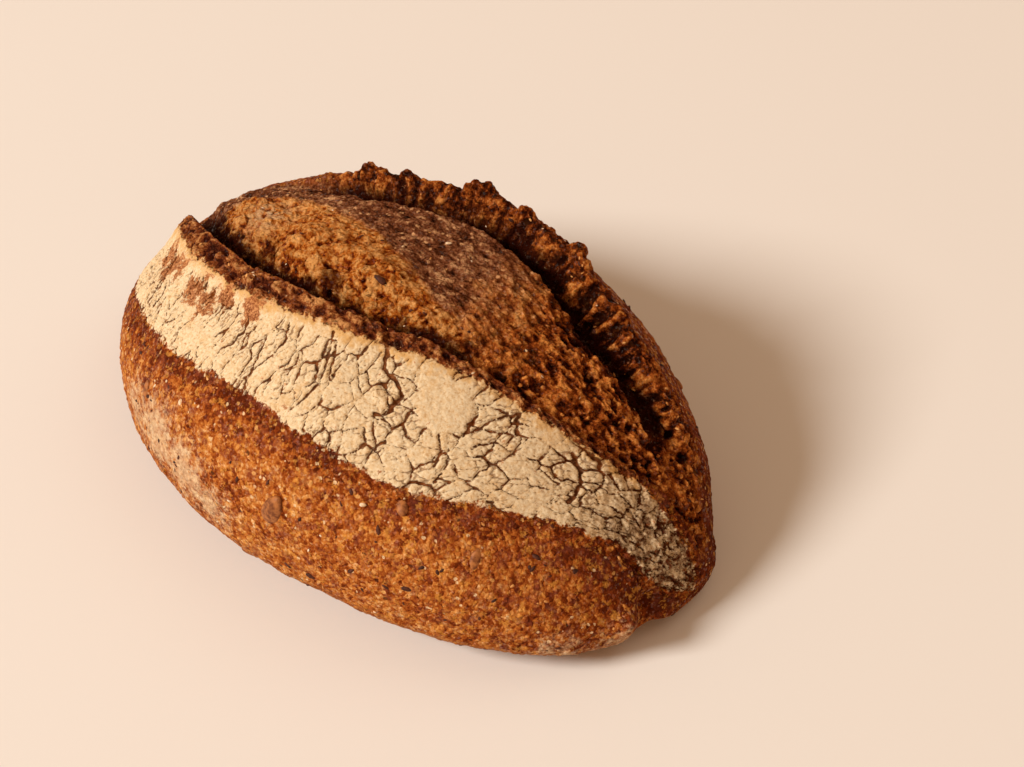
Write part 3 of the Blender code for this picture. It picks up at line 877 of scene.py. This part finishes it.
def tornDough(f, colour):  # golden bloom, dark strip, rough right end
    c = breadColours
    # painted shade in the relief's low spots, in the gaps between crumbs and in the slash bottoms, and
    # painted light on the tops, for the bloom, the strip and the rough end
    tornHeight = f.total((f.grit, 1.35), (f.crumbUp, 0.18), (f.crumbTone, 0.12), (f.fine, 0.60),
                         (f.paintedReliefShade, -0.38), (f.blotch, 0.62), (f.mask("white"), 0.14),
                         (f.mask("paintedShade"), -0.22), (-0.680, 1.0))
    fleck = f.times(f.fade(f.crumbGap, 0.42, 0.30), f.fade(f.crumbPick, 0.80, 0.84))
    runHeight = f.total((f.gritRun, 1.35), (f.crumbUp, 0.10), (f.crumbTone, 0.12), (f.fine, 0.65),
                        (f.paintedReliefShade, -0.38), (fleck, 0.38), (f.mask("paintedShade"), -0.22), (-0.41, 1.0))
    colour = f.mix(f.mask("bloom"), colour, f.ramp(tornHeight, c["bloom"]))
    colour = f.mix(f.mask("strip"), colour, f.ramp(runHeight, c["strip"]))
    colour = f.mix(f.mask("rough"), colour, f.ramp(runHeight, c["rough"]))
    return f.mix(f.times(f.mask("white"), f.fade(f.grit, 0.38, 0.54)), colour, c["smear"])


def tornEdges(f, colour):  # the bare lip, the back ear and the painted shade in the bottoms of the slashes
    c = breadColours
    lipRun = f.speckle(breadGrain["lipRun"], 6.0, 0.72, (0.30, 0.9, 1.0))
    # the relief's low spots painted darker as shade and its tops painted lighter as light, on the lip and the
    # back ear
    edgeHeight = f.total((lipRun, 1.80), (f.crumbTone, 0.20), (f.fine, 0.80), (f.paintedReliefShade, -0.55),
                         (-0.66, 1.0))
    colour = f.mix(f.times(f.mask("lip"), 0.94), colour, f.ramp(edgeHeight, c["edge"]))
    earHeight = f.total((f.grit, 1.50), (f.crumbTone, 0.20), (f.fine, 0.75), (f.paintedReliefShade, -0.55),
                        (-0.545, 1.0))
    colour = f.mix(f.times(f.mask("ear"), 0.92), colour, f.ramp(earHeight, c["rough"]))
    # the bottoms of the slashes painted dark as shade, broken a little by the grit
    paintedShadeOn = f.total((f.mask("paintedShade"), 1.0), (f.fade(f.grit, 0.45, 0.75), -0.25))
    return f.mix(f.fade(paintedShadeOn, 0.12, 0.85), colour, c["paintedShade"])


def flourCoat(f):  # the flour with its tan edge, a grey tip darkened further as painted shade, brown patches and cracks
    c = breadColours
    flour = f.ramp(f.total((f.fine, 1.0), (f.grit, 0.45), (-0.22, 1.0)), c["flour"])
    flour = f.mix(f.times(f.fade(f.blotch, 0.5, 0.72), 0.35), flour, c["flourTan"])
    upperEdge = f.total((f.mask("lipRoom"), 1.0), (f.grit, 12.0), (f.blotch, 12.0), (-11.5, 1.0))
    flour = f.mix(f.times(f.fade(upperEdge, 5.0, 0.0), 0.85), flour, c["flourTan"])
    # at the right tip the flour turns grey-brown: thin dusty flour, made darker still as painted shade
    greyOn = f.times(f.mask("tipDustAndShade"), f.times(f.fade(f.grit, 0.61, 0.45), 0.9))
    flour = f.mix(greyOn, flour, c["flourGrey"])
    brownOn = f.fade(f.total((f.mask("brown"), 1.0), (f.grit, 2.8), (f.fine, 0.9), (-1.85, 1.0)), 0.36, 0.50)
    flour = f.mix(f.times(brownOn, 0.94), flour, f.mix(f.fade(f.fine, 0.38, 0.64), *c["brown"]))
    crackColour = f.mix(f.fade(f.grit, 0.40, 0.60), *c["crack"])
    crumble = f.times(f.mask("tipDustAndShade"), f.total((f.grit, 3.0), (f.fine, 1.5), (-2.15, 1.0)))
    for name, low, high, cover in (("fineCrackRoom", 0.22, 0.0, 0.55), ("crackRoom", 0.24, 0.02, 0.95)):
        room = f.total((f.mask(name), 1.0), (f.fine, 0.4), (crumble, 1.0), (-0.20, 1.0))
        crack = f.fade(room, low, high)
        flour = f.mix(f.times(crack, cover), flour, crackColour)
        f.cracks = crack if name == "fineCrackRoom" else f.greatest(crack, f.times(f.cracks, 0.5))
    return flour


def breadSkin(f, flourOn):  # how it shines and the finest relief
    bare = f.without(flourOn)
    glint = f.times(f.fade(f.smallTone, 0.87, 0.92), bare)
    dull = f.total((f.fine, 0.35), (flourOn, 0.25), (glint, -0.25), (0.45, 1.0))
    f.link(dull, f.shader.inputs["Roughness"])
    f.link(f.total((glint, 0.36), (0.015, 1.0)), f.shader.inputs["Specular IOR Level"])
    torn = f.greatest(f.math("ADD", f.mask("bloom"), f.mask("rough")), f.times(f.mask("strip"), 0.8),
                      f.mask("lip"), f.mask("ear"))
    tornUp = f.total((f.grit, 0.6), (f.gritRun, 0.6), (f.crumbUp, 0.25), (-0.72, 1.0))
    normal = f.bump(f.times(tornUp, f.times(torn, bare)), breadRelief["torn"], 1.0)
    skinUp = f.total((f.flakeTone, 0.35), (f.fade(f.flakeGap, 0.7, 0.2), 0.35), (f.smallTone, 0.2),
                     (f.fine, 0.6), (-0.80, 1.0))
    normal = f.bump(f.times(skinUp, f.without(f.times(flourOn, 0.8))), breadRelief["skin"], 0.9, normal)
    normal = f.bump(f.times(f.cracks, -1.0), breadRelief["crack"], 0.8, normal)
    normal = f.bump(f.speckle(breadGrain["pits"], 2.0, 0.6), breadRelief["pits"], 0.6, normal)
    f.link(normal, f.shader.inputs["Normal"])


def breadFinish():
    c = breadColours
    f = BreadFinish("bakedBread")
    colour = tornEdges(f, tornDough(f, brownCrust(f)))
    flour = flourCoat(f)
    flourOn = f.total((f.mask("flourRoom"), 1.0), (f.fine, 4.0), (f.grit, 5.0), (f.mask("tipDustAndShade"), -3.5),
                      (-4.5, 1.0))
    flourOn = f.fade(flourOn, -0.5, 0.5)
    colour = f.mix(flourOn, colour, flour)
    smear = f.total((f.mask("smear"), 1.0), (f.fine, 1.2), (f.grit, 1.3), (-1.25, 1.0))
    dusted = f.mix(f.fade(f.grit, 0.4, 0.65), c["smear"], c["flourPale"])
    colour = f.mix(f.times(f.fade(smear, 0.10, 0.90), 0.80), colour, dusted)
    f.link(colour, f.shader.inputs["Base Color"])
    breadSkin(f, flourOn)
    return f.material


bread = breadFinish()
loafPieces = []
for pieceName, first, last in (("crustFront", "underFront", "band"), ("flouredBand", "band", "crevice"),
                               ("tornMiddle", "crevice", "ear"), ("crustBack", "ear", "end")):
    piece = loafPatch(pieceName, first, last)
    piece.data.materials.append(bread)
    loafPieces.append(piece)
    print("loaf:", pieceName, len(piece.data.polygons), "faces")

# seeds and flakes

seedPlaces = {
    # station, angle, length, width, turn
    "big": [(0.118, 165, 0.0148, 0.0100, -20), (0.43, 141, 0.0080, 0.0050, 30),
            (0.64, 145, 0.0085, 0.0050, -20), (-0.45, 160, 0.0085, 0.0050, 15),
            (0.02, 197, 0.0080, 0.0050, 60), (0.30, 12, 0.0125, 0.0080, 25),
            (-0.30, 28, 0.0085, 0.0050, -50), (-0.05, 352, 0.0085, 0.0050, 10),
            (0.62, 20, 0.0080, 0.0045, 80)],
    "thickness": 0.46,  # share of the width
    "sink": 0.22,
    "colours": [(0.16, 0.045, 0.013), (0.42, 0.150, 0.042)],
    "shine": 0.5,
}

flakeKinds = {
    "darkSeeds": {"count": 190, "length": (1.6, 3.2), "width": 0.60, "thickness": 0.30, "sink": 0.15,
                  "colours": [(0.036, 0.011, 0.007), (0.095, 0.025, 0.011)], "shine": 0.6, "seed": 4,
                  # larger ones that show: station, angle, length
                  "placed": [(0.407, 152, 4.6), (0.522, 168, 5.0), (0.169, 182, 4.4), (0.246, 181, 4.2),
                             (0.371, 171, 3.6), (0.466, 171, 3.6), (0.743, 134, 4.2), (-0.431, 161, 3.8),
                             (0.012, 97, 5.8), (0.169, 97, 4.2)]},
    "goldFlakes": {"count": 620, "length": (0.8, 2.1), "width": 0.60, "thickness": 0.16, "sink": 0.02,
                   "colours": [(0.48, 0.17, 0.038), (0.70, 0.34, 0.11)], "shine": 0.7, "seed": 5},
    "paleFlakes": {"count": 90, "length": (0.7, 1.8), "width": 0.65, "thickness": 0.22, "sink": 0.0,
                   "colours": [(0.60, 0.38, 0.20), (0.80, 0.62, 0.44)], "shine": 0.8, "seed": 6,
                   "placed": [(-0.284, 152, 3.4), (0.346, 147, 2.8), (-0.407, 155, 2.0), (-0.371, 150, 1.8),
                              (-0.246, 140, 1.7), (-0.026, 171, 2.0), (0.026, 79, 2.8), (-0.052, 87, 2.3)]},
}


def seedTemplate(around, along, pointed=0.35):  # one seed of unit size: its points and its faces
    bm = bmesh.new()
    bmesh.ops.create_uvsphere(bm, u_segments=around, v_segments=along, radius=0.5)
    points = np.array([(v.co.x, v.co.y * (1 - pointed * (v.co.x + 0.5)), v.co.z) for v in bm.verts])
    faces = [[v.index for v in f.verts] for f in bm.faces]
    bm.free()
    return points, faces


def seedMesh(name, template, seeds, material):  # seeds: middle, normal, turn, length, width, thickness
    points, faces = template
    allPoints, allFaces = [], []
    for number, (middle, normal, turn, length, width, thickness) in enumerate(seeds):
        turned = Vector(normal).to_track_quat("Z", "X").to_matrix() @ Matrix.Rotation(turn, 3, "Z")
        allPoints.append((points * (length, width, thickness)) @ np.array(turned).T + np.array(middle))
        allFaces += [[i + number * len(points) for i in face] for face in faces]
    mesh = bpy.data.meshes.new(name)
    mesh.from_pydata(np.concatenate(allPoints).tolist(), [], allFaces)
    mesh.shade_smooth()
    mesh.materials.append(material)
    piece = bpy.data.objects.new(name, mesh)
    bpy.context.scene.collection.objects.link(piece)
    return piece


def nearestRow(placeStation, placeAngle):
    middle = plainForm(np.array(placeStation), np.array(float(placeAngle)))
    return np.unravel_index(np.sum((base - middle) ** 2, -1).argmin(), flour.shape)


def seedMaterial(name, colours, shine):
    f = Finish(name)
    tone = f.mix(f.fade(f.speckle(0.0022, 3.0, 0.6), 0.35, 0.65), colours[0], colours[1])
    f.link(tone, f.shader.inputs["Base Color"])
    f.link(f.bump(f.speckle(0.0006, 2.0, 0.5), 0.0001, 0.6), f.shader.inputs["Normal"])
    f.shader.inputs["Roughness"].default_value = shine
    f.shader.inputs["Specular IOR Level"].default_value = 0.18
    return f.material


def bigSeeds():
    seeds = []
    for placeStation, placeAngle, length, width, turn in seedPlaces["big"]:
        at = nearestRow(placeStation, placeAngle)
        thickness = seedPlaces["thickness"] * width
        middle = surface[at] - normals[at] * thickness * seedPlaces["sink"]
        seeds.append((middle, normals[at], math.radians(turn), length, width, thickness))
    finish = seedMaterial("roastedSeed", seedPlaces["colours"], seedPlaces["shine"])
    return seedMesh("bakedInSeeds", seedTemplate(20, 12), seeds, finish)


def flakes(name):
    k = flakeKinds[name]
    rng = random.Random(k["seed"])
    seeds = []
    chance = (1 - flour) * np.where(openTop > 0.5, 0.55, 1.0) * ramp(surface[..., 2], 1.5 * mm, 4 * mm)
    stepAlong, stepAround = (np.linalg.norm(np.gradient(surface, axis=side), axis=-1) for side in (0, 1))
    total = np.cumsum((chance * (stepAlong * stepAround)).ravel())
    placed = k.get("placed", [])
    for number in range(k["count"] + len(placed)):
        if number < len(placed):
            at, length = nearestRow(*placed[number][:2]), placed[number][2] * mm
        else:
            step = min(np.searchsorted(total, rng.random() * total[-1]), len(total) - 1)
            at, length = np.unravel_index(step, flour.shape), rng.uniform(*k["length"]) * mm
        width, thickness = length * k["width"] * rng.uniform(0.8, 1.2), length * k["thickness"]
        lean = Vector(normals[at]) + Vector([rng.uniform(-0.35, 0.35) for _ in range(3)])
        middle = surface[at] - normals[at] * thickness * k["sink"]
        seeds.append((middle, lean, rng.uniform(0, 6.28), length, width, thickness))
    finish = seedMaterial(name + "Finish", k["colours"], k["shine"])
    return seedMesh(name, seedTemplate(7, 4, 0.4), seeds, finish)


toppings = [bigSeeds()] + [flakes(name) for name in flakeKinds]
for topping in toppings:
    print("topping:", topping.name, len(topping.data.polygons), "faces")

for piece in loafPieces + toppings:
    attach(piece, "root")
    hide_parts("loaf")

# stage, light and camera

stage = {
    "floor": (0.84, 0.79, 0.75),
    "floorReach": 4.0,
    "camera": {"yaw": 40, "rise": 46, "away": 0.888, "lens": 77.97, "sensor": 36,
               "aim": (0.0161, 0.0487, 0.0083)},
    "key": {"yaw": -29, "rise": 37, "away": 6.0, "size": 2.0, "power": 385, "colour": (1.0, 0.97, 0.91)},
    "fill": {"yaw": 150, "rise": 55, "away": 4.0, "size": 3.0, "power": 12, "colour": (1.0, 0.90, 0.80)},
    "room": {"colour": (1.0, 0.63, 0.36), "strength": 0.42},
}


def aroundLoaf(yaw, rise, away, aim):
    a, e = math.radians(yaw), math.radians(rise)
    back = Vector((math.sin(a) * math.cos(e), -math.cos(a) * math.cos(e), math.sin(e)))
    return Vector(aim) + back * away, back


def floorPlane():
    bm = bmesh.new()
    bmesh.ops.create_grid(bm, x_segments=1, y_segments=1, size=stage["floorReach"])
    f = Finish("paperFloor")
    tone = f.mix(f.speckle(0.9, 2.0), stage["floor"], tuple(0.97 * v for v in stage["floor"]))
    f.link(tone, f.shader.inputs["Base Color"])
    f.shader.inputs["Roughness"].default_value = 0.9
    f.link(f.bump(f.speckle(0.0015), 0.00004, 0.25), f.shader.inputs["Normal"])
    mesh = bpy.data.meshes.new("floor")
    bm.to_mesh(mesh)
    bm.free()
    mesh.materials.append(f.material)
    floor = bpy.data.objects.new("floor", mesh)
    bpy.context.scene.collection.objects.link(floor)
    floor.location.z = -0.0001


def areaLight(name):
    s = stage[name]
    light = bpy.data.lights.new(name, "AREA")
    light.shape = "DISK"
    light.size, light.energy, light.color = s["size"], s["power"], s["colour"]
    lamp = bpy.data.objects.new(name, light)
    lamp.location, back = aroundLoaf(s["yaw"], s["rise"], s["away"], (0, 0, 0.03))
    lamp.rotation_euler = back.to_track_quat("Z", "Y").to_euler()
    bpy.context.scene.collection.objects.link(lamp)


def photoCamera():
    s = stage["camera"]
    camera = bpy.data.objects.new("camera", bpy.data.cameras.new("camera"))
    camera.data.lens, camera.data.sensor_width = s["lens"], s["sensor"]
    camera.location, back = aroundLoaf(s["yaw"], s["rise"], s["away"], s["aim"])
    camera.rotation_euler = (-back).to_track_quat("-Z", "Y").to_euler()
    bpy.context.scene.collection.objects.link(camera)
    bpy.context.scene.camera = camera


def roomLight():
    world = bpy.data.worlds.new("room")
    world.use_nodes = True
    background = world.node_tree.nodes["Background"]
    background.inputs["Color"].default_value = (*stage["room"]["colour"], 1)
    background.inputs["Strength"].default_value = stage["room"]["strength"]
    bpy.context.scene.world = world
    bpy.context.scene.view_settings.view_transform = "Standard"


floorPlane()
areaLight("key")
areaLight("fill")
roomLight()
photoCamera()
print("stage, lights and camera done")
